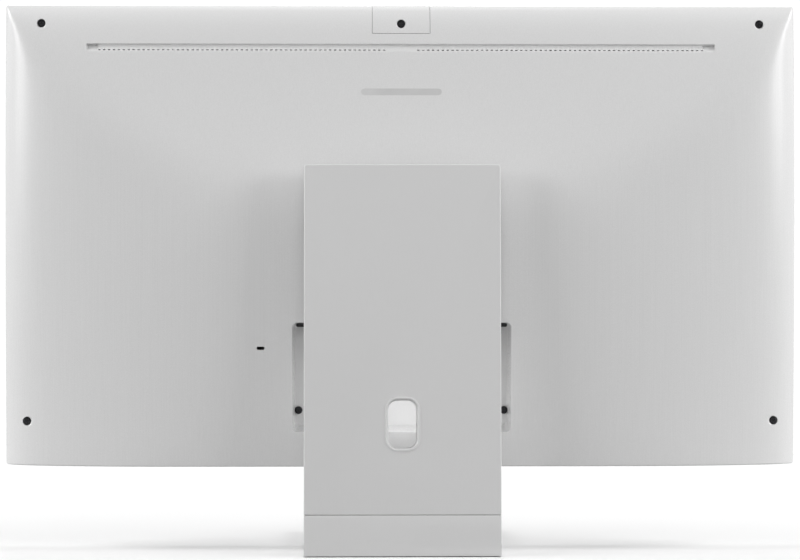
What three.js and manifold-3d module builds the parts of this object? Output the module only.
// All in one pc: a display head on a leaning slab neck with a flat base.
// Millimetres, +Z up. The display faces -Y, and the neck stands behind the head, towards +Y.
import * as THREE from "three";
import { mergeVertices } from "three/addons/utils/BufferGeometryUtils.js";
import Module from "manifold-3d";

const wasm = await Module();
wasm.setup();

// ------------------------------------------------------------------ driving dimensions
const FIT = 0.3; // gap between pieces that rest on each other
const RUN = 0.08; // radial clearance of the hinge pin
const OVER = 1; // how far a cutter passes the face it cuts
const ROUND = 32; // facets of a running round
const COARSE = 16; // facets of a plain round

const head = { width: 612, height: 356, depth: 47, hingeHeight: 197.8 };
const active = { side: 7.05, top: 5.8, bottom: 13.9 };
const frame = { depth: 8, wall: 2, lip: 1.5 };
const cell = { thick: 1.6, lap: 1.5, ledge: 6 };
const guide = { thick: 2.5 };
const tray = { wall: 0.8, rim: 1.2 };
const ledBar = { height: 2, inset: 10 };
const chassis = { thick: 1.2, inset: 6, lip: 3, lipLow: 68.2, lipTop: 45 };

// Rear cover: how its depth grows inward from each edge of the outline.
const cover = { wall: 3, rim: 11, sideBow: 5.3, bowPeak: 0.75, blend: 2 };
const sideEdge = { rise: 12, run: 12 };
const sideSwell = { rise: 25, run: 225 };
const topEdge = { rise: 6, run: 6 };
const topRoll = { rise: 6, run: 25 };
const topSlope = { fall: 0.17, reach: 141 };
const bottomDrop = { drop: 5, run: 90 };
const grid = { across: 24, up: 20 };

const bay = { width: 166.8, height: 83.9, bottom: 26.2, floor: 22, wall: 2.5, radius: 3.5, ramp: 4 };
const vent = { fromSide: 63.5, height: 6.1, below: 30.7, depth: 1.8 };
const ventSlot = { width: 5, height: 2, pitch: 7.56, inner: 12.5, end: 9.5, up: 1.2 };
const lock = { width: 6, height: 2.5, radius: 1.2, x: 107.7, z: 90.7 };
const boss = { radius: 4.5 };
const screw = { head: 3, headThick: 2, shank: 1.5, sink: 1.2, slot: 0.8, slotLong: 3.6, slotDeep: 1 };
const topScrew = { fromSide: 28.3, fromTop: 15 };
const lowScrew = { fromSide: 17.6, fromBottom: 34.1 };
const bayScrew = { fromWall: 4.1, up: 16.1 };

const board = { width: 170, height: 160, thick: 1.6, depth: 22, above: 4.4 };
const coldPlate = { size: 46, thick: 4.8, below: 5 };
const pipe = { wide: 8, thick: 3, step: 13, overlap: 10 };
const fins = { height: 14, thick: 12, count: 12, web: 1.2 };
const fan = { size: 80, thick: 12, wall: 1.2, gap: 9, inlet: 22, air: 3 };
const impeller = { hub: 12, blades: 11, blade: 1.2, root: 2 };
const memory = { width: 69.6, height: 30, thick: 4.2, gap: 4 };
const drive = { width: 80, height: 22, thick: 2.4 };
const radio = { width: 30, height: 22, thick: 2.4 };
const speaker = { width: 100, height: 20, depth: 18, fromSide: 56, cone: 8, dish: 3 };
const speakerSlot = { width: 2, pitch: 6, count: 6, start: 6 };
const driverBoard = { gap: 10, height: 16, thick: 1.6, up: 8 };

const panel = { thick: 3.4, depth: 20.7, endGap: 2.7, below: 0.4, radius: 1.5, lip: 0.8 };
const port = { long: 20, margin: 2.35, shell: 0.6 };
const hdmi = { width: 15.2, depth: 6, kind: "tongue", mouth: [14, 4.8], tongue: [10, 1.4], deep: 11 };
const usbA = { width: 13.5, depth: 6, kind: "tongue", mouth: [12.3, 4.8], tongue: [11, 1.6], deep: 12 };
const usbC = { width: 9.8, depth: 4, kind: "tongue", mouth: [8.4, 2.7], tongue: [6.6, 0.8], deep: 7 };
const sockets = [
  { name: "dc_jack", width: 9, depth: 11, kind: "round", bore: 2.75, pin: 0.9, deep: 10 },
  { name: "lan_port", width: 16, depth: 13.5, kind: "open", mouth: [11.8, 9.6], deep: 14 },
  { name: "hdmi_in_port", ...hdmi },
  { name: "hdmi_out_port", ...hdmi },
  { name: "usb_a_port_1", ...usbA },
  { name: "usb_a_port_2", ...usbA },
  { name: "usb_a_port_3", ...usbA },
  { name: "usb_c_port", ...usbC },
  { name: "audio_jack", width: 7, depth: 7, kind: "round", bore: 1.8, pin: 0, deep: 14 },
];

const camera = { width: 45, height: 22.7, front: 8.8, plate: 1.2, seam: 0.3 };
const cameraTongue = { width: 36, long: 27 };
const cameraRail = { wide: 6, height: 28, thick: 1.6 };
const lens = { radius: 3, depth: 5, below: 7 };
const button = { radius: 5, proud: 0.8, travel: 0.8, flange: 1.6, flangeThick: 1, gap: 0.4, depth: 16 };
const buttonBoard = { width: 24, depth: 11.5, thick: 1.6 };

// The hinge axis lies behind the head's deepest face, ahead of the neck and below its top.
const hinge = { proud: 6.5, clear: 5.1, below: 31.1, knuckle: 6, ear: 5, standEar: 4, reach: 45 };
const hingePinSize = { radius: 3, head: 4.5, headThick: 2 };
const washerSize = { radius: 5.5, thick: 3.9 };
const bridge = { thick: 3, height: 50, inside: 11, leg: 8, legGap: 10 };
const hatch = { side: 10, height: 30 };
const standPlate = { width: 100, height: 50, thick: 3 };

const neck = { width: 148, thick: 13.5, long: 293.1, lean: 3.38, radius: 2.3, skin: 2.5, front: 2 };
const core = { thick: 3, margin: 12 };
const hole = { width: 26.4, height: 39.6, height0: 97, chamfer: 2.6, radius: 9.5 };
const base = { depth: 185, height: 10, skin: 2.4, lift: 1.5, radius: 4, upstand: 29.4, seam: 0.5 };
const basePlate = { thick: 4 };
const heel = { width: 100, long: 32, thick: 3 };
const foot = { radius: 8, height: 1.2, inset: 16 };
const heelScrew = { head: 4, headThick: 2, shank: 1.9, spread: 60, forward: 18 };

// ------------------------------------------------------------------ materials
const look = (color, roughness, metalness = 0) =>
  new THREE.MeshStandardMaterial({ color, roughness, metalness });
const paint = {
  shell: () => look(0xd9d9d9, 0.45),
  trim: () => look(0xcfcfcf, 0.5),
  black: () => look(0x1b1b1d, 0.5),
  glass: () => look(0x08090b, 0.12),
  film: () => look(0xe8e8e4, 0.35),
  steel: () => look(0xa9abad, 0.38, 1),
  dark: () => look(0x3a3b3d, 0.35, 1),
  copper: () => look(0xb87346, 0.35, 1),
  pcb: () => look(0x1f4a34, 0.55),
  tin: () => look(0xc4c6c8, 0.3, 1),
  rubber: () => look(0x2a2a2a, 0.9),
};

// ------------------------------------------------------------------ solids
function solid(geometry) {
  const bare = geometry.index ? geometry.toNonIndexed() : geometry.clone();
  bare.deleteAttribute("normal");
  bare.deleteAttribute("uv");
  const merged = mergeVertices(bare, 1e-4);
  const mesh = new wasm.Mesh({
    numProp: 3,
    vertProperties: new Float32Array(merged.attributes.position.array),
    triVerts: new Uint32Array(merged.index.array),
  });
  return new wasm.Manifold(mesh);
}

function piece(name, body, material) {
  const { vertProperties, triVerts } = body.getMesh();
  const geometry = new THREE.BufferGeometry();
  geometry.setAttribute("position", new THREE.BufferAttribute(new Float32Array(vertProperties), 3));
  geometry.setIndex(new THREE.BufferAttribute(new Uint32Array(triVerts), 1));
  const flat = geometry.toNonIndexed();
  flat.computeVertexNormals();
  const mesh = new THREE.Mesh(flat, material);
  mesh.name = name;
  return mesh;
}

// A box between two limits on each axis.
function block([x0, x1], [y0, y1], [z0, z1]) {
  const box = new THREE.BoxGeometry(x1 - x0, y1 - y0, z1 - z0);
  return solid(box.translate((x0 + x1) / 2, (y0 + y1) / 2, (z0 + z1) / 2));
}

const slab = (half, y, z) => block([-half, half], y, z);

// Round rods along each axis.
function rodY(radius, x, [y0, y1], z, facets = COARSE) {
  const rod = new THREE.CylinderGeometry(radius, radius, y1 - y0, facets);
  return solid(rod.translate(x, (y0 + y1) / 2, z));
}

function rodZ(radius, x, y, [z0, z1], facets = COARSE) {
  const rod = new THREE.CylinderGeometry(radius, radius, z1 - z0, facets).rotateX(Math.PI / 2);
  return solid(rod.translate(x, y, (z0 + z1) / 2));
}

function rodX(radius, [x0, x1], y, z, facets = COARSE) {
  const rod = new THREE.CylinderGeometry(radius, radius, x1 - x0, facets).rotateZ(Math.PI / 2);
  return solid(rod.translate((x0 + x1) / 2, y, z));
}

// A shape drawn in X and Z, carried along Y.
function carryY(shape, [y0, y1], options = {}) {
  const settings = { depth: y1 - y0, bevelEnabled: false, curveSegments: 5, ...options };
  return solid(new THREE.ExtrudeGeometry(shape, settings).rotateX(Math.PI / 2).translate(0, y1, 0));
}

// A shape drawn in Y and Z, carried along X.
function carryX(shape, [x0, x1]) {
  const turn = new THREE.Matrix4().makeBasis(
    new THREE.Vector3(0, 1, 0),
    new THREE.Vector3(0, 0, 1),
    new THREE.Vector3(1, 0, 0),
  );
  const bar = new THREE.ExtrudeGeometry(shape, { depth: x1 - x0, bevelEnabled: false, curveSegments: 8 });
  return solid(bar.applyMatrix4(turn).translate(x0, 0, 0));
}

// A shape drawn in X and Y, carried along Z.
function carryZ(shape, [z0, z1]) {
  const bar = new THREE.ExtrudeGeometry(shape, { depth: z1 - z0, bevelEnabled: false, curveSegments: 5 });
  return solid(bar.translate(0, 0, z0));
}

// A rectangle with its own radius at the low corners and at the high corners.
function roundRect([a0, a1], [b0, b1], low, high = low) {
  const shape = new THREE.Shape();
  shape.moveTo(a0 + low, b0);
  shape.lineTo(a1 - low, b0);
  if (low > 0) shape.absarc(a1 - low, b0 + low, low, -Math.PI / 2, 0, false);
  shape.lineTo(a1, b1 - high);
  if (high > 0) shape.absarc(a1 - high, b1 - high, high, 0, Math.PI / 2, false);
  shape.lineTo(a0 + high, b1);
  if (high > 0) shape.absarc(a0 + high, b1 - high, high, Math.PI / 2, Math.PI, false);
  shape.lineTo(a0, b0 + low);
  if (low > 0) shape.absarc(a0 + low, b0 + low, low, Math.PI, Math.PI * 1.5, false);
  return shape;
}

function polygon(points) {
  return new THREE.Shape(points.map(([a, b]) => new THREE.Vector2(a, b)));
}

const union = (bodies) => bodies.reduce((all, body) => all.add(body));

// ------------------------------------------------------------------ form of the rear cover
const half = head.width / 2;
const coverStart = frame.depth + FIT;

function grow(distance, { rise, run }) {
  return rise * (1 - Math.exp(-distance / run));
}

function sideShare(distance) {
  const left = Math.max(0, 1 - distance / sideSwell.run);
  const full = sideEdge.rise + sideSwell.rise;
  return (grow(distance, sideEdge) + sideSwell.rise * (1 - left * left)) / full;
}

function topShare(distance) {
  const full = topEdge.rise + topRoll.rise + topSlope.fall * topSlope.reach;
  return (grow(distance, topEdge) + grow(distance, topRoll) + topSlope.fall * distance) / full;
}

// Depth of the cover's outer face behind the display's front, at (x, z) of the head.
function coverDepth(x, z) {
  const fromSide = Math.max(0, half - Math.abs(x));
  const fromTop = Math.max(0, head.height - z);
  const bow = Math.sin(Math.PI * Math.pow(fromTop / head.height, cover.bowPeak));
  const sideRim = cover.rim + cover.sideBow * Math.max(0, bow);
  const side = sideRim + (head.depth - sideRim) * sideShare(fromSide);
  const top = cover.rim + (head.depth - cover.rim) * topShare(fromTop);
  const low = Math.max(0, 1 - z / bottomDrop.run);
  const back = head.depth - bottomDrop.drop * low * low;
  const k = cover.blend;
  return -k * Math.log(Math.exp(-side / k) + Math.exp(-top / k) + Math.exp(-back / k));
}

// The closed cushion between the plane at start and the cover's outer face, moved inward by inset.
function cushion(inset, start) {
  const box = new THREE.BoxGeometry(2, 2, 2, grid.across, 1, grid.up);
  const at = box.attributes.position;
  for (let i = 0; i < at.count; i += 1) {
    const x = Math.sin((at.getX(i) * Math.PI) / 2) * (half - inset);
    const up = (1 + Math.sin((at.getZ(i) * Math.PI) / 2)) / 2;
    const z = inset + up * (head.height - 2 * inset);
    at.setXYZ(i, x, at.getY(i) > 0 ? coverDepth(x, z) - inset : start, z);
  }
  return solid(box);
}

// ------------------------------------------------------------------ display
const activeHalf = half - active.side;
const activeTop = head.height - active.top;
const activeLow = active.bottom;
const cellHalf = activeHalf + cell.lap;
const cellZ = [activeLow - cell.ledge, activeTop + cell.lap];
const cellY = [frame.lip + FIT, frame.lip + FIT + cell.thick];
const trayY = [cellY[1] + FIT, cellY[1] + 2 * FIT + guide.thick + tray.wall];
const chassisY = [trayY[1] + 2 * FIT, trayY[1] + 2 * FIT + chassis.thick];

function frontFrame() {
  const outer = slab(half, [0, frame.depth], [0, head.height]);
  const pocketZ = [frame.wall, head.height - frame.wall];
  const pocket = slab(half - frame.wall, [frame.lip, frame.depth + OVER], pocketZ);
  const window = slab(activeHalf, [-OVER, frame.depth], [frame.wall, activeTop]);
  return outer.subtract(pocket).subtract(window);
}

function chinTrim() {
  return slab(activeHalf - FIT, [0, frame.lip], [frame.wall + FIT, activeLow - FIT]);
}

function lcdCell() {
  return slab(cellHalf, cellY, cellZ);
}

function lightGuide() {
  const inset = tray.rim + FIT;
  const low = cellZ[0] + inset + ledBar.height + FIT;
  return slab(cellHalf - inset, [trayY[0], trayY[0] + guide.thick], [low, cellZ[1] - inset]);
}

function ledStrip() {
  const low = cellZ[0] + tray.rim + FIT;
  return slab(cellHalf - ledBar.inset, [trayY[0], trayY[0] + guide.thick], [low, low + ledBar.height]);
}

function backlightTray() {
  const pan = slab(cellHalf, trayY, cellZ);
  const inside = [cellZ[0] + tray.rim, cellZ[1] - tray.rim];
  return pan.subtract(slab(cellHalf - tray.rim, [trayY[0] - OVER, trayY[1] - tray.wall], inside));
}

// ------------------------------------------------------------------ head structure
const tileLow = head.height - camera.height;
const railHalf = cameraTongue.width / 2 + FIT + cameraRail.wide;
const bayZ = [bay.bottom, bay.bottom + bay.height];
const bayHalf = bay.width / 2;
const boardZ = [bayZ[1] + bay.wall + board.above, bayZ[1] + bay.wall + board.above + board.height];
const boardRear = board.depth + board.thick + FIT;
const boardHalf = board.width / 2;
const legInner = boardHalf + bridge.legGap;

function mainChassis() {
  const inset = chassis.inset;
  const edge = half - inset - 2 * FIT - cover.wall;
  const z = [inset, head.height - inset];
  const sheet = slab(edge, chassisY, z);
  const lipY = [chassisY[0], chassisY[1] + chassis.lip];
  const sideLips = [-1, 1].map((side) => {
    const reach = [side * edge, side * (edge - chassis.thick)].sort((a, b) => a - b);
    return block(reach, lipY, [z[0] + chassis.lipLow, z[1] - chassis.lipTop]);
  });
  const slotLow = tileLow - cameraTongue.long - 2 * FIT - cameraRail.wide;
  const notch = slab(railHalf + FIT, [0, head.depth], [slotLow, head.height]);
  return union([sheet, ...sideLips]).subtract(notch);
}

const cornerScrews = [
  { name: "cover_screw_top_left", x: half - topScrew.fromSide, z: head.height - topScrew.fromTop },
  { name: "cover_screw_top_right", x: topScrew.fromSide - half, z: head.height - topScrew.fromTop },
  { name: "cover_screw_low_left", x: half - lowScrew.fromSide, z: lowScrew.fromBottom },
  { name: "cover_screw_low_right", x: lowScrew.fromSide - half, z: lowScrew.fromBottom },
];

const bayScrews = [
  { name: "bay_screw_left", x: bayHalf - bayScrew.fromWall, z: bayZ[0] + bayScrew.up },
  { name: "bay_screw_right", x: bayScrew.fromWall - bayHalf, z: bayZ[0] + bayScrew.up },
];

// Depth at which a sunk screw's head seats in the cover.
const seatDepth = ({ x, z }) => coverDepth(x, z) - screw.sink - screw.headThick;

function screwBody(seat, tip) {
  const slotZ = [seat + screw.headThick - screw.slotDeep, seat + screw.headThick + OVER];
  const cross = (a, b) => block([-a / 2, a / 2], slotZ, [-b / 2, b / 2]);
  const shank = rodY(screw.shank, 0, [tip, seat + screw.slot], 0);
  const round = rodY(screw.head, 0, [seat, seat + screw.headThick], 0);
  const slots = [cross(screw.slotLong, screw.slot), cross(screw.slot, screw.slotLong)];
  return union([round, shank]).subtract(union(slots));
}

// ------------------------------------------------------------------ sockets and their panel
const panelHalf = bayHalf - panel.endGap;
const portsHalf = panelHalf - port.margin;
const portGap = (2 * portsHalf - sockets.reduce((sum, { width }) => sum + width, 0)) / (sockets.length - 1);
let portEdge = portsHalf;
const ports = sockets.map((socket) => {
  const x = portEdge - socket.width / 2;
  portEdge -= socket.width + portGap;
  return { ...socket, x };
});
const panelZ = [bayZ[1] - panel.below - panel.thick, bayZ[1] - panel.below];
const panelY = [bay.floor + FIT, bay.floor + FIT + panel.depth];
const portZ = [panelZ[1] + FIT, panelZ[1] + FIT + port.long];
const portMid = ({ depth }) => boardRear + depth / 2;

function socketCut(item, margin, z) {
  const y = portMid(item);
  if (item.kind === "round") return rodZ(item.bore + margin, item.x, y, z);
  const [wide, deep] = item.mouth.map((size) => size / 2 + margin);
  return block([item.x - wide, item.x + wide], [y - deep, y + deep], z);
}

function portBody(item) {
  const y = portMid(item);
  const shell = block(
    [item.x - item.width / 2, item.x + item.width / 2],
    [y - item.depth / 2, y + item.depth / 2],
    portZ,
  );
  const hollow = shell.subtract(socketCut(item, 0, [portZ[0] - OVER, portZ[0] + item.deep]));
  const reach = [portZ[0] + port.shell, portZ[0] + item.deep + OVER];
  if (item.kind === "tongue") {
    const [wide, deep] = item.tongue.map((size) => size / 2);
    return hollow.add(block([item.x - wide, item.x + wide], [y - deep, y + deep], reach));
  }
  return item.pin ? hollow.add(rodZ(item.pin, item.x, y, reach, 8)) : hollow;
}

function portPanel() {
  const plate = carryZ(roundRect([-panelHalf, panelHalf], panelY, panel.radius), panelZ);
  const cutZ = [panelZ[0] - OVER, panelZ[1] + OVER];
  return plate.subtract(union(ports.map((item) => socketCut(item, panel.lip, cutZ))));
}

// ------------------------------------------------------------------ rear cover
const axisY = head.depth + hinge.proud;
const bridgeDepth = head.depth - bridge.inside;
const hatchHalf = hinge.reach + hinge.ear / 2 + hatch.side;
const hatchZ = [head.hingeHeight - hatch.height / 2, head.hingeHeight + hatch.height / 2];

function bayWalls() {
  const outerHalf = bayHalf + bay.wall;
  return slab(outerHalf, [bay.floor - bay.wall, head.depth], [bayZ[0] - bay.wall, bayZ[1] + bay.wall]);
}

function bayVoid() {
  const shape = roundRect([-bayHalf, bayHalf], [bayZ[0] + bay.ramp, bayZ[1]], 0, bay.radius);
  const pocket = carryY(shape, [bay.floor, head.depth + OVER]);
  const ramp = polygon([
    [bay.floor, bayZ[0] + bay.ramp],
    [head.depth + OVER, bayZ[0]],
    [head.depth + OVER, bayZ[0] + 2 * bay.ramp],
    [bay.floor, bayZ[0] + 2 * bay.ramp],
  ]);
  return pocket.add(carryX(ramp, [-bayHalf, bayHalf]));
}

function ventCuts() {
  const high = head.height - vent.below;
  const low = high - vent.height;
  const beyond = head.depth + OVER;
  const groove = polygon([
    [coverDepth(0, high) - vent.depth, high],
    [coverDepth(0, low), low],
    [beyond, low],
    [beyond, high],
  ]);
  const ventHalf = half - vent.fromSide;
  const count = Math.floor((ventHalf - ventSlot.inner - ventSlot.end) / ventSlot.pitch);
  const z = [low + ventSlot.up, low + ventSlot.up + ventSlot.height];
  const slots = [];
  for (const side of [-1, 1]) {
    for (let i = 0; i < count; i += 1) {
      const x = side * (ventSlot.inner + ventSlot.width / 2 + i * ventSlot.pitch);
      const reach = [x - ventSlot.width / 2, x + ventSlot.width / 2];
      slots.push(block(reach, [coverStart, beyond], z));
    }
  }
  return union([carryX(groove, [-ventHalf, ventHalf]), ...slots]);
}

function speakerSlots() {
  const bars = [];
  for (const side of [-1, 1]) {
    const middle = side * (half - speaker.fromSide - speaker.width / 2);
    for (let i = 0; i < speakerSlot.count; i += 1) {
      const x = middle + (i - (speakerSlot.count - 1) / 2) * speakerSlot.pitch;
      const reach = [x - speakerSlot.width / 2, x + speakerSlot.width / 2];
      const y = [chassisY[1] + speakerSlot.start, chassisY[1] + speaker.depth];
      bars.push(block(reach, y, [-OVER, cover.wall + OVER]));
    }
  }
  return union(bars);
}

function rearCover() {
  const outer = cushion(0, coverStart);
  const inner = cushion(cover.wall, coverStart - OVER);
  const stand = chassisY[1] + FIT;
  const posts = cornerScrews.map((at) => rodY(boss.radius, at.x, [stand, head.depth], at.z));
  const bayPosts = bayScrews.map((at) => rodY(boss.radius, at.x, [stand, bay.floor], at.z));
  const added = union([bayWalls(), ...posts]).intersect(outer);
  const shell = outer.subtract(inner).add(added).subtract(bayVoid()).add(union(bayPosts));
  const recesses = cornerScrews.map((at) => {
    const sunk = rodY(screw.head + FIT, at.x, [seatDepth(at) - FIT, head.depth + OVER], at.z);
    return sunk.add(rodY(screw.shank + FIT, at.x, [stand - OVER, head.depth], at.z));
  });
  const bayHoles = bayScrews.map((at) =>
    rodY(screw.shank + FIT, at.x, [stand - OVER, bay.floor + OVER], at.z));
  const portCut = slab(portsHalf + FIT, [boardRear - FIT, panelY[1] - panel.radius],
    [bayZ[1] - OVER, bayZ[1] + bay.wall + OVER]);
  const tile = slab(camera.width / 2, [0, head.depth], [tileLow, head.height + OVER]);
  const hatchCut = slab(hatchHalf, [0, head.depth + OVER], hatchZ);
  const lockShape = roundRect(
    [lock.x - lock.width / 2, lock.x + lock.width / 2],
    [lock.z - lock.height / 2, lock.z + lock.height / 2],
    lock.radius,
  );
  const lockCut = carryY(lockShape, [bay.floor, head.depth + OVER]);
  const buttonCut = rodZ(button.radius + FIT, 0, button.depth, [-OVER, cover.wall + OVER], ROUND);
  const cuts = [...recesses, ...bayHoles, portCut, tile, hatchCut, lockCut, buttonCut];
  return shell.subtract(union([...cuts, ventCuts(), speakerSlots()]));
}

// ------------------------------------------------------------------ electronics
const plateTop = boardZ[1] - coldPlate.below;
const pipeLow = boardRear + coldPlate.thick + FIT;
const fanLeft = legInner + bridge.leg + fan.gap;
const finsTop = plateTop - coldPlate.size / 2 - pipe.step + pipe.wide / 2;
const finsZ = [finsTop - fins.height, finsTop];
const fanZ = [finsZ[0] - FIT - fan.size, finsZ[0] - FIT];
const finsY = [pipeLow - FIT - fins.thick, pipeLow - FIT];
const fanY = [finsY[0] - fan.air, finsY[0] - fan.air + fan.thick];
const fanAt = { x: fanLeft + fan.size / 2, z: (fanZ[0] + fanZ[1]) / 2 };

function coldPlateBody() {
  const z = [plateTop - coldPlate.size, plateTop];
  return slab(coldPlate.size / 2, [boardRear, boardRear + coldPlate.thick], z);
}

function heatPipe() {
  const high = plateTop - coldPlate.size / 2;
  const low = high - pipe.step;
  const run = new THREE.CatmullRomCurve3([
    new THREE.Vector3(-coldPlate.size / 3, pipeLow + pipe.thick / 2, high),
    new THREE.Vector3(coldPlate.size / 2, pipeLow + pipe.thick / 2, high),
    new THREE.Vector3(legInner, pipeLow + pipe.thick / 2, (high + low) / 2),
    new THREE.Vector3(fanLeft + pipe.overlap, pipeLow + pipe.thick / 2, low),
    new THREE.Vector3(fanLeft + fan.size - pipe.overlap / 2, pipeLow + pipe.thick / 2, low),
  ]);
  const round = new THREE.Shape().absellipse(0, 0, pipe.wide / 2, pipe.wide / 2, 0, 2 * Math.PI);
  const tube = new THREE.ExtrudeGeometry(round, { extrudePath: run, steps: 20, curveSegments: 5 });
  const at = tube.attributes.position;
  const middle = pipeLow + pipe.thick / 2;
  for (let i = 0; i < at.count; i += 1) {
    at.setY(i, middle + (at.getY(i) - middle) * (pipe.thick / pipe.wide));
  }
  return solid(tube);
}

function finStack() {
  const left = fanLeft + fan.wall;
  const right = fanLeft + fan.size - fan.wall;
  const pitch = (right - left) / fins.count;
  const body = block([left, right], finsY, finsZ);
  const gaps = [];
  for (let i = 0; i < fins.count; i += 1) {
    const x = left + i * pitch + fins.web / 2;
    gaps.push(block([x, x + pitch - fins.web], [finsY[0] - OVER, finsY[1] - fins.web],
      [finsZ[0] - OVER, finsZ[1] + OVER]));
  }
  return body.subtract(union(gaps));
}

function fanHousing() {
  const inside = [fanY[0] + fan.wall, fanY[1] - fan.wall];
  const box = block([fanLeft, fanLeft + fan.size], fanY, fanZ);
  const radius = fan.size / 2 - 2 * fan.wall;
  const scroll = rodY(radius, fanAt.x, inside, fanAt.z, ROUND);
  const outlet = block([fanAt.x - radius, fanAt.x + radius], inside, [fanAt.z, fanZ[1] + OVER]);
  const inlet = rodY(fan.inlet, fanAt.x, [inside[0] + fan.wall, fanY[1] + OVER], fanAt.z, ROUND);
  return box.subtract(union([scroll, outlet, inlet]));
}

function fanImpeller() {
  const y = [-fan.thick / 2 + 2 * fan.wall, fan.thick / 2 - 2 * fan.wall];
  const reach = fan.size / 2 - 2 * fan.wall - fan.air;
  const hub = rodY(impeller.hub, 0, y, 0, ROUND);
  const root = impeller.hub - impeller.root;
  const blades = [];
  for (let i = 0; i < impeller.blades; i += 1) {
    const blade = new THREE.BoxGeometry(reach - root, y[1] - y[0] - fan.wall, impeller.blade);
    blade.translate((reach + root) / 2, 0, 0).rotateY((i * 2 * Math.PI) / impeller.blades);
    blades.push(solid(blade));
  }
  return union([hub, ...blades]);
}

function boardPart({ width, height, thick }, x, z) {
  return block([x, x + width], [boardRear, boardRear + thick], [z, z + height]);
}

function speakerBox(side) {
  const outer = side * (half - speaker.fromSide);
  const inner = outer - side * speaker.width;
  const x = [Math.min(outer, inner), Math.max(outer, inner)];
  const y = [chassisY[1] + 2 * FIT, chassisY[1] + 2 * FIT + speaker.depth];
  const z = [cover.wall + FIT, cover.wall + FIT + speaker.height];
  const dish = rodZ(speaker.cone, (x[0] + x[1]) / 2, (y[0] + y[1]) / 2, [z[0] - OVER, z[0] + speaker.dish]);
  return block(x, y, z).subtract(dish);
}

// ------------------------------------------------------------------ lift-up camera
const cameraHalf = camera.width / 2 - camera.seam;
const cameraLow = tileLow + camera.seam;
const cameraTop = head.height - FIT;
const cameraY = [camera.front, camera.front + camera.plate];
const lensZ = head.height - lens.below;
const lensY = [camera.front, camera.front + lens.depth];
const cameraScrewZ = head.height - topScrew.fromTop;

function cameraFront() {
  const face = slab(cameraHalf, cameraY, [cameraLow, cameraTop]);
  const tongue = slab(cameraTongue.width / 2, cameraY, [cameraLow - cameraTongue.long, cameraLow + OVER]);
  return face.add(tongue).subtract(rodY(lens.radius + FIT, 0, [0, cameraY[1] + OVER], lensZ));
}

function cameraRear() {
  const start = cameraY[1] + FIT;
  const tile = cushion(0, start).intersect(slab(cameraHalf, [start, head.depth], [cameraLow, cameraTop]));
  const lensPocket = rodY(lens.radius + FIT, 0, [start - OVER, camera.front + lens.depth + FIT], lensZ);
  const seat = seatDepth({ x: 0, z: cameraScrewZ });
  const sunk = rodY(screw.head + FIT, 0, [seat - FIT, head.depth], cameraScrewZ);
  const shank = rodY(screw.shank + FIT, 0, [start - OVER, head.depth], cameraScrewZ);
  return tile.subtract(union([lensPocket, sunk, shank]));
}

function cameraGuide() {
  const top = tileLow - 2 * FIT;
  const z = [tileLow - cameraTongue.long - cameraRail.wide, top];
  const outer = slab(railHalf, [camera.front, cameraY[1] + FIT + cameraRail.thick], z);
  const channelZ = [z[0] + cameraRail.wide - FIT, top + OVER];
  const channel = slab(cameraTongue.width / 2 + FIT, [0, cameraY[1] + FIT], channelZ);
  return outer.subtract(channel);
}

// ------------------------------------------------------------------ power button
function powerButton() {
  const cap = rodZ(button.radius, 0, 0, [-button.proud, cover.wall + FIT], ROUND);
  const flangeZ = [cover.wall + FIT, cover.wall + FIT + button.flangeThick];
  return cap.add(rodZ(button.radius + button.flange, 0, 0, flangeZ, ROUND));
}

function switchBoard() {
  const low = cover.wall + FIT + button.flangeThick + button.travel + button.gap;
  const y = [button.depth - buttonBoard.depth / 2, button.depth + buttonBoard.depth / 2];
  return slab(buttonBoard.width / 2, y, [low, low + buttonBoard.thick]);
}

// ------------------------------------------------------------------ tilt hinge
// An ear in Y and Z: a bar from y0 to the axis with a round end, bored for the pin.
function ear(y0, y1, z, [x0, x1], bore) {
  const shape = new THREE.Shape();
  const turn = Math.sign(y1 - y0);
  shape.moveTo(y0, z - turn * hinge.knuckle);
  shape.lineTo(y1, z - turn * hinge.knuckle);
  const start = (-turn * Math.PI) / 2;
  shape.absarc(y1, z, hinge.knuckle, start, start + Math.PI, false);
  shape.lineTo(y0, z + turn * hinge.knuckle);
  const plate = carryX(shape, [x0, x1]);
  return plate.subtract(rodX(bore, [x0 - OVER, x1 + OVER], y1, z, ROUND));
}

function bothEars(middle, wide, make) {
  return [-middle, middle].map((x) => make([x - wide / 2, x + wide / 2]));
}

const standEarMiddle = hinge.reach - hinge.ear / 2 - 2 * FIT - washerSize.thick - hinge.standEar / 2;

function headBracket() {
  const z = [head.hingeHeight - bridge.height / 2, head.hingeHeight + bridge.height / 2];
  const y = [bridgeDepth, bridgeDepth + bridge.thick];
  const legs = [-1, 1].map((side) => {
    const reach = [side * legInner, side * (legInner + bridge.leg)].sort((a, b) => a - b);
    return block(reach, [chassisY[1] + FIT, y[1]], z);
  });
  const ears = bothEars(hinge.reach, hinge.ear, (x) =>
    ear(bridgeDepth + bridge.thick / 2, axisY, head.hingeHeight, x, hingePinSize.radius + RUN));
  return union([slab(legInner + bridge.leg, y, z), ...legs, ...ears]);
}

// ------------------------------------------------------------------ neck, in its own leaning frame
// Y is 0 on the neck's rear face and falls towards the front; Z runs up the neck from its foot.
const neckFront = -neck.thick;
const coverFront = neckFront + neck.front + FIT;
const coreY = [-neck.skin - FIT - core.thick, -neck.skin - FIT];
const standPlateY = [coreY[0] - FIT - standPlate.thick, coreY[0] - FIT];
const neckLow = base.upstand + base.seam;
const hingeAt = { y: neckFront - hinge.clear, z: neck.long - hinge.below };
const neckHalf = neck.width / 2;

function holeShape(grow) {
  const wide = hole.width / 2 - hole.chamfer + grow;
  const tall = hole.height / 2 - hole.chamfer + grow;
  const z = [hole.height0 - tall, hole.height0 + tall];
  return roundRect([-wide, wide], z, hole.radius - hole.chamfer + grow);
}

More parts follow.
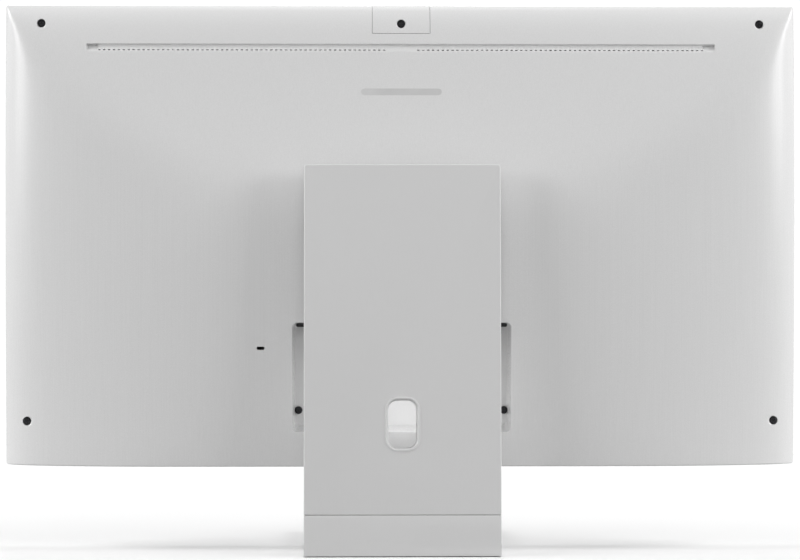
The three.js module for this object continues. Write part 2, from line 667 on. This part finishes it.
const holeCut = (y, grow = 0) => carryY(holeShape(grow), y);

function neckRearCover() {
  const outline = roundRect([-neckHalf, neckHalf], [neckLow, neck.long], 0, neck.radius);
  const outer = carryY(outline, [coverFront, 0]);
  const cavityZ = [neckLow - OVER, neck.long - neck.skin];
  const cavity = slab(neckHalf - neck.skin, [coverFront - OVER, -neck.skin], cavityZ);
  const flare = carryY(holeShape(0), [OVER, 2 * OVER], {
    bevelEnabled: true,
    bevelSize: hole.chamfer + OVER,
    bevelThickness: hole.chamfer + OVER,
    bevelSegments: 1,
  });
  return outer.subtract(cavity).subtract(holeCut([coverFront, OVER])).subtract(flare);
}

function neckFrontCover() {
  const outline = roundRect([-neckHalf, neckHalf], [neckLow, neck.long], 0, neck.radius);
  const sheet = carryY(outline, [neckFront, neckFront + neck.front]);
  const z = [hingeAt.z - hatch.height / 2, hingeAt.z + hatch.height / 2];
  const hatchCut = slab(hatchHalf, [neckFront - OVER, 0], z);
  return sheet.subtract(holeCut([neckFront - OVER, 0])).subtract(hatchCut);
}

function standBracket() {
  const z = [hingeAt.z - standPlate.height / 2, hingeAt.z + standPlate.height / 2];
  const ears = bothEars(standEarMiddle, hinge.standEar, (x) =>
    ear(standPlateY[1] - OVER, hingeAt.y, hingeAt.z, x, hingePinSize.radius + RUN));
  return union([slab(standPlate.width / 2, standPlateY, z), ...ears]);
}

function hingePin() {
  const end = hinge.reach + hinge.ear / 2 + FIT;
  const heads = [-1, 1].map((side) => {
    const reach = [side * end, side * (end + hingePinSize.headThick)].sort((a, b) => a - b);
    return rodX(hingePinSize.head, reach, 0, 0, ROUND);
  });
  const tip = end + hingePinSize.headThick / 2;
  return union([rodX(hingePinSize.radius, [-tip, tip], 0, 0, ROUND), ...heads]);
}

function frictionWasher() {
  const ring = rodX(washerSize.radius, [-washerSize.thick / 2, washerSize.thick / 2], 0, 0, ROUND);
  const bore = [-washerSize.thick, washerSize.thick];
  return ring.subtract(rodX(hingePinSize.radius + RUN, bore, 0, 0, ROUND));
}

// ------------------------------------------------------------------ base
const lean = THREE.MathUtils.degToRad(neck.lean);
const rearY = base.depth / 2;

function leaned(body) {
  return body.rotate([neck.lean, 0, 0]).translate([0, rearY, 0]);
}

function neckCore() {
  const wide = neckHalf - core.margin;
  const top = neck.long - core.margin;
  const upright = slab(wide, coreY, [base.height, top]).subtract(holeCut([neckFront, OVER], hole.chamfer));
  const stem = slab(heel.width / 2, coreY, [-OVER, base.height + OVER]);
  const heelZ = [basePlate.thick + FIT, basePlate.thick + FIT + heel.thick];
  const ground = slab(neck.width, [-base.depth, base.depth], [-base.depth, heelZ[0]]);
  const stemAbove = leaned(stem).subtract(ground);
  const heelY = [rearY - neck.skin - heel.long, rearY - neck.skin - 2 * FIT];
  const flat = slab(heel.width / 2, heelY, heelZ);
  const y = rearY - heelScrew.forward;
  const holes = [-1, 1].map((side) =>
    rodZ(heelScrew.shank + FIT, (side * heelScrew.spread) / 2, y, [0, base.height]));
  return union([leaned(upright), stemAbove, flat]).subtract(union(holes));
}

function baseCover() {
  const plan = roundRect([-neckHalf, neckHalf], [-rearY, rearY], base.radius, 0);
  const tray = carryZ(plan, [0, base.height]);
  const inset = base.skin;
  const under = slab(neckHalf - inset, [inset - rearY, rearY - inset], [-OVER, base.height - inset]);
  const up = leaned(slab(neckHalf, [neckFront, 0], [-OVER, base.upstand]));
  const ground = slab(base.depth, [-base.depth, base.depth], [-base.depth, 0]);
  const slotHalf = neckHalf - core.margin + 2 * FIT;
  const slotY = [coreY[0] - 2 * FIT, coreY[1] + FIT];
  const slot = leaned(slab(slotHalf, slotY, [base.skin, base.upstand + OVER]));
  const floor = slab(base.depth, [-base.depth, base.depth], [-base.depth, base.height - 2 * inset]);
  return union([tray, up]).subtract(union([ground, under, slot.subtract(floor)]));
}

function baseWeight() {
  const inset = base.skin + FIT;
  const plate = slab(neckHalf - inset, [inset - rearY, rearY - inset], [0, basePlate.thick]);
  const holes = [-1, 1].map((side) => {
    const x = (side * heelScrew.spread) / 2;
    const y = rearY - heelScrew.forward;
    const sink = rodZ(heelScrew.head + FIT, x, y, [-OVER, heelScrew.headThick + FIT]);
    return sink.add(rodZ(heelScrew.shank + FIT, x, y, [0, basePlate.thick + OVER]));
  });
  return plate.subtract(union(holes));
}

function heelScrewBody() {
  const top = basePlate.thick + FIT + heel.thick;
  const headPart = rodZ(heelScrew.head, 0, 0, [0, heelScrew.headThick]);
  return headPart.add(rodZ(heelScrew.shank, 0, 0, [heelScrew.headThick / 2, top]));
}

// ------------------------------------------------------------------ assembly
const pc = new THREE.Group();
const stand = new THREE.Group();
const neckGroup = new THREE.Group();
const headGroup = new THREE.Group();
stand.position.z = base.lift;
neckGroup.position.y = rearY;
neckGroup.rotation.x = lean;
stand.add(neckGroup);

const axis = new THREE.Vector3(0, hingeAt.y, hingeAt.z).applyEuler(neckGroup.rotation);
axis.add(new THREE.Vector3(0, rearY, base.lift));
headGroup.position.set(0, axis.y - axisY, axis.z - head.hingeHeight);
pc.add(stand, headGroup);

headGroup.add(
  piece("front_frame", frontFrame(), paint.shell()),
  piece("chin_trim", chinTrim(), paint.trim()),
  piece("lcd_cell", lcdCell(), paint.glass()),
  piece("light_guide", lightGuide(), paint.film()),
  piece("led_bar", ledStrip(), paint.tin()),
  piece("backlight_tray", backlightTray(), paint.steel()),
  piece("main_chassis", mainChassis(), paint.steel()),
  piece("rear_cover", rearCover(), paint.shell()),
  piece("port_panel", portPanel(), paint.black()),
  piece("hinge_head_bracket", headBracket(), paint.steel()),
);

for (const at of cornerScrews) {
  const body = piece(at.name, screwBody(seatDepth(at), chassisY[1] + FIT), paint.dark());
  body.position.set(at.x, 0, at.z);
  headGroup.add(body);
}

for (const at of bayScrews) {
  const body = piece(at.name, screwBody(bay.floor + FIT, chassisY[1] + FIT), paint.dark());
  body.position.set(at.x, 0, at.z);
  headGroup.add(body);
}

for (const item of ports) {
  headGroup.add(piece(item.name, portBody(item), item.kind === "round" ? paint.black() : paint.tin()));
}

const lowRow = portZ[1] + memory.gap;
headGroup.add(
  piece("motherboard", slab(boardHalf, [board.depth, board.depth + board.thick], boardZ), paint.pcb()),
  piece("cpu_cold_plate", coldPlateBody(), paint.copper()),
  piece("heat_pipe", heatPipe(), paint.copper()),
  piece("fin_stack", finStack(), paint.tin()),
  piece("fan_housing", fanHousing(), paint.black()),
  piece("memory_module_1", boardPart(memory, -boardHalf + memory.gap, lowRow), paint.pcb()),
  piece("memory_module_2",
    boardPart(memory, -boardHalf + memory.gap, lowRow + memory.height + memory.gap), paint.pcb()),
  piece("ssd_module", boardPart(drive, 0, lowRow), paint.pcb()),
  piece("wireless_card", boardPart(radio, 0, lowRow + drive.height + memory.gap), paint.pcb()),
  piece("speaker_left", speakerBox(1), paint.black()),
  piece("speaker_right", speakerBox(-1), paint.black()),
  piece("webcam_guide", cameraGuide(), paint.black()),
  piece("power_switch_board", switchBoard(), paint.pcb()),
);

const driverHalf = half - speaker.fromSide - speaker.width - driverBoard.gap;
const driverY = [chassisY[1] + 2 * FIT, chassisY[1] + 2 * FIT + driverBoard.thick];
const driverZ = [driverBoard.up, driverBoard.up + driverBoard.height];
headGroup.add(piece("display_driver_board", slab(driverHalf, driverY, driverZ), paint.pcb()));

const fanWheel = piece("fan_impeller", fanImpeller(), paint.black());
fanWheel.position.set(fanAt.x, (fanY[0] + fanY[1]) / 2, fanAt.z);
const cameraScrew = piece("webcam_screw",
  screwBody(seatDepth({ x: 0, z: cameraScrewZ }), cameraY[1] + 2 * FIT), paint.dark());
cameraScrew.position.z = cameraScrewZ;
const power = piece("power_button", powerButton(), paint.trim());
power.position.y = button.depth;
headGroup.add(
  fanWheel,
  piece("webcam_front_shell", cameraFront(), paint.black()),
  piece("webcam_rear_shell", cameraRear(), paint.shell()),
  piece("webcam_lens", rodY(lens.radius, 0, lensY, lensZ), paint.glass()),
  cameraScrew,
  power,
);

neckGroup.add(
  piece("neck_rear_cover", neckRearCover(), paint.shell()),
  piece("neck_front_cover", neckFrontCover(), paint.shell()),
  piece("hinge_stand_bracket", standBracket(), paint.steel()),
);
const pin = piece("hinge_pin", hingePin(), paint.steel());
pin.position.set(0, hingeAt.y, hingeAt.z);
neckGroup.add(pin);
for (const [name, side] of [["friction_washer_left", 1], ["friction_washer_right", -1]]) {
  const washer = piece(name, frictionWasher(), paint.copper());
  const x = hinge.reach - hinge.ear / 2 - FIT - washerSize.thick / 2;
  washer.position.set(side * x, hingeAt.y, hingeAt.z);
  neckGroup.add(washer);
}

stand.add(
  piece("neck_core", neckCore(), paint.steel()),
  piece("base_cover", baseCover(), paint.shell()),
  piece("base_plate", baseWeight(), paint.steel()),
);

for (const [name, side] of [["base_screw_left", 1], ["base_screw_right", -1]]) {
  const body = piece(name, heelScrewBody(), paint.dark());
  body.position.set((side * heelScrew.spread) / 2, rearY - heelScrew.forward, 0);
  stand.add(body);
}

const footSpots = [
  ["foot_front_left", 1, -1],
  ["foot_front_right", -1, -1],
  ["foot_rear_left", 1, 1],
  ["foot_rear_right", -1, 1],
];
for (const [name, side, end] of footSpots) {
  const pad = piece(name, rodZ(foot.radius, 0, 0, [0, foot.height], COARSE), paint.rubber());
  pad.position.set(side * (neckHalf - foot.inset), end * (rearY - foot.inset), -base.lift);
  stand.add(pad);
}

export default pc;
